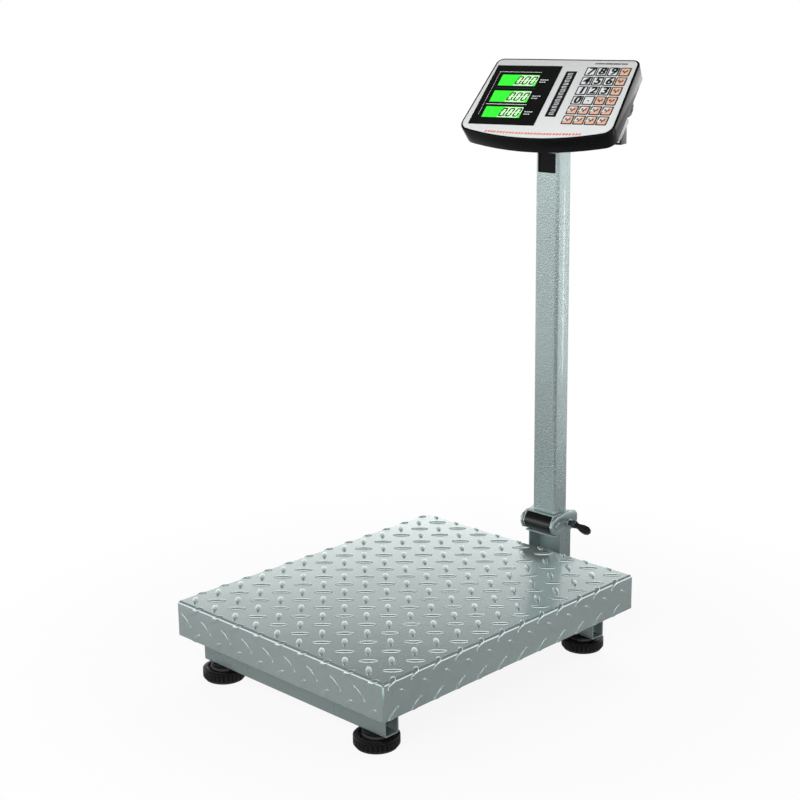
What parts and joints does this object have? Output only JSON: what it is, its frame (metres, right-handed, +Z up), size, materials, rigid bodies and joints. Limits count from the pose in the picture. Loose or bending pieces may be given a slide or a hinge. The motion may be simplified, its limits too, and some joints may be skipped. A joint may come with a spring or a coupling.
{
  "type": "platform shipping scale",
  "caption": "Platform shipping scale: checker-plate platter on a tube base with screw feet, folding column, and a swivelling, tilting indicator head with display and keypad.",
  "frame": {"origin": "on the floor, under the middle of the whole scale's outline", "axes": "+X to the user's right, +Y from the platter's front edge towards the column, +Z up"},
  "size_m": [0.4, 0.6441, 0.8158],
  "materials": {
    "frame_paint": "glossy grey-green silver enamel over steel",
    "platter_paint": "glossy grey-green silver enamel on checker plate",
    "column_paint": "hammertone enamel",
    "cell_alloy": "machined aluminium",
    "zinc_steel": "bright zinc plate",
    "black_steel": "polished black chrome",
    "lever_alloy": "dark cast lever",
    "brass_tip": "turned brass",
    "foot_moulding": "black moulded nylon",
    "sole_rubber": "black rubber",
    "pad_rubber": "black rubber",
    "plug_plastic": "black moulded plastic",
    "case_black": "glossy black moulded ABS",
    "case_floor": "fine-textured black ABS",
    "pod_grey": "light grey ABS",
    "knob_grey": "dark grey moulded knob",
    "overlay_film": "printed polyester membrane",
    "lens_black": "smoked acrylic lens",
    "lcd_green": "backlit display glass",
    "board_green": "printed circuit board",
    "battery_wrap": "shrink-wrapped cells"
  },
  "bodies": {
    "base": {"front_cross_tube": "frame_paint", "rear_cross_tube": "frame_paint", "base_spine": "frame_paint", "rear_rail": "frame_paint", "foot_weld_nuts": "zinc_steel", "load_cell": "cell_alloy", "cell_lower_spacer": "zinc_steel", "cell_upper_spacer": "zinc_steel", "cell_lower_bolts": "zinc_steel", "cell_upper_bolts": "zinc_steel", "carrier_beam": "frame_paint", "carrier_arm_front": "frame_paint", "carrier_arm_rear": "frame_paint", "platter_pads": "pad_rubber", "overload_stop_screws": "zinc_steel", "overload_stop_nuts": "zinc_steel", "hinge_bracket": "frame_paint", "lock_nut": "black_steel", "hinge_pin": "zinc_steel", "hinge_nut": "zinc_steel"},
    "platter_tray": {"platter": "platter_paint"},
    "column": {"column_shoe": "frame_paint", "hinge_barrel": "black_steel", "column_post": "column_paint", "neck_plug": "plug_plastic", "swivel_bolt": "zinc_steel", "swivel_washer": "zinc_steel"},
    "lock_thrust": {"lock_tip": "brass_tip"},
    "lock_screw": {"lock_lever": "lever_alloy"},
    "yoke": {"head_yoke": "frame_paint"},
    "knob_left": {"tilt_knob_left": "knob_grey"},
    "knob_right": {"tilt_knob_right": "knob_grey"},
    "head": {"head_upper_case": "case_black", "keypad_overlay": "overlay_film", "display_lens": "lens_black", "lcd_weight": "lcd_green", "lcd_unit_price": "lcd_green", "lcd_total_price": "lcd_green", "main_board": "board_green", "head_lower_case": "case_floor", "case_screws": "zinc_steel", "battery_pod": "pod_grey", "battery_pack": "battery_wrap", "battery_door": "pod_grey", "charging_socket": "plug_plastic", "cable_gland": "plug_plastic"},
    "sole_front_left": {"foot_sole_front_left": "sole_rubber"},
    "foot_front_left": {"foot_front_left": "foot_moulding"},
    "sole_front_right": {"foot_sole_front_right": "sole_rubber"},
    "foot_front_right": {"foot_front_right": "foot_moulding"},
    "sole_rear_left": {"foot_sole_rear_left": "sole_rubber"},
    "foot_rear_left": {"foot_rear_left": "foot_moulding"},
    "sole_rear_right": {"foot_sole_rear_right": "sole_rubber"},
    "foot_rear_right": {"foot_rear_right": "foot_moulding"}
  },
  "joints": [
    {"name": "platter_lift", "type": "slide", "parent": "base", "child": "platter_tray", "axis": [0, 0, 1], "range_m": [0, 0.12]},
    {"name": "column_fold", "type": "hinge", "parent": "base", "child": "column", "pos_m": [0, 0.21755, 0.1315], "axis": [1, 0, 0], "range_deg": [0, 90]},
    {"name": "lock_travel", "type": "slide", "parent": "base", "child": "lock_thrust", "axis": [1, 0, 0], "range_m": [0, 0.00375]},
    {"name": "lock_turn", "type": "hinge", "parent": "lock_thrust", "child": "lock_screw", "pos_m": [0.0314, 0.24415, 0.131], "axis": [1, 0, 0], "range_deg": [0, 1085]},
    {"name": "head_swivel", "type": "hinge", "parent": "column", "child": "yoke", "pos_m": [0, 0.23605, 0.6993], "axis": [0, 0, 1], "range_deg": [-58.8, 31.2]},
    {"name": "head_tilt", "type": "hinge", "parent": "yoke", "child": "head", "pos_m": [-0.00339, 0.24986, 0.75363], "axis": [0.9711, 0.2385, 0], "range_deg": [-24, 12]},
    {"name": "tilt_knob_right_turn", "type": "hinge", "parent": "yoke", "child": "knob_right", "pos_m": [-0.00339, 0.24986, 0.75363], "axis": [0.9711, 0.2385, 0], "range_deg": [0, 270]},
    {"name": "tilt_knob_left_turn", "type": "hinge", "parent": "yoke", "child": "knob_left", "pos_m": [-0.00339, 0.24986, 0.75363], "axis": [-0.9711, -0.2385, 0], "range_deg": [0, 270]},
    {"name": "foot_travel_front_left", "type": "slide", "parent": "base", "child": "sole_front_left", "axis": [0, 0, -1], "range_m": [0, 0.0105]},
    {"name": "foot_turn_front_left", "type": "hinge", "parent": "sole_front_left", "child": "foot_front_left", "pos_m": [-0.149, -0.28525, 0.01], "axis": [0, 0, -1], "range_deg": [0, 2165]},
    {"name": "foot_travel_front_right", "type": "slide", "parent": "base", "child": "sole_front_right", "axis": [0, 0, -1], "range_m": [0, 0.0105]},
    {"name": "foot_turn_front_right", "type": "hinge", "parent": "sole_front_right", "child": "foot_front_right", "pos_m": [0.149, -0.28525, 0.01], "axis": [0, 0, -1], "range_deg": [0, 2165]},
    {"name": "foot_travel_rear_left", "type": "slide", "parent": "base", "child": "sole_rear_left", "axis": [0, 0, -1], "range_m": [0, 0.0105]},
    {"name": "foot_turn_rear_left", "type": "hinge", "parent": "sole_rear_left", "child": "foot_rear_left", "pos_m": [-0.149, 0.12955, 0.01], "axis": [0, 0, -1], "range_deg": [0, 2165]},
    {"name": "foot_travel_rear_right", "type": "slide", "parent": "base", "child": "sole_rear_right", "axis": [0, 0, -1], "range_m": [0, 0.0105]},
    {"name": "foot_turn_rear_right", "type": "hinge", "parent": "sole_rear_right", "child": "foot_rear_right", "pos_m": [0.149, 0.12955, 0.01], "axis": [0, 0, -1], "range_deg": [0, 2165]}
  ],
  "couplings": [
    {"joint": "lock_turn", "follows": "lock_travel", "rad_per_m": 5026.5},
    {"joint": "foot_turn_front_left", "follows": "foot_travel_front_left", "rad_per_m": 3590.4},
    {"joint": "foot_turn_front_right", "follows": "foot_travel_front_right", "rad_per_m": 3590.4},
    {"joint": "foot_turn_rear_left", "follows": "foot_travel_rear_left", "rad_per_m": 3590.4},
    {"joint": "foot_turn_rear_right", "follows": "foot_travel_rear_right", "rad_per_m": 3590.4}
  ]
}
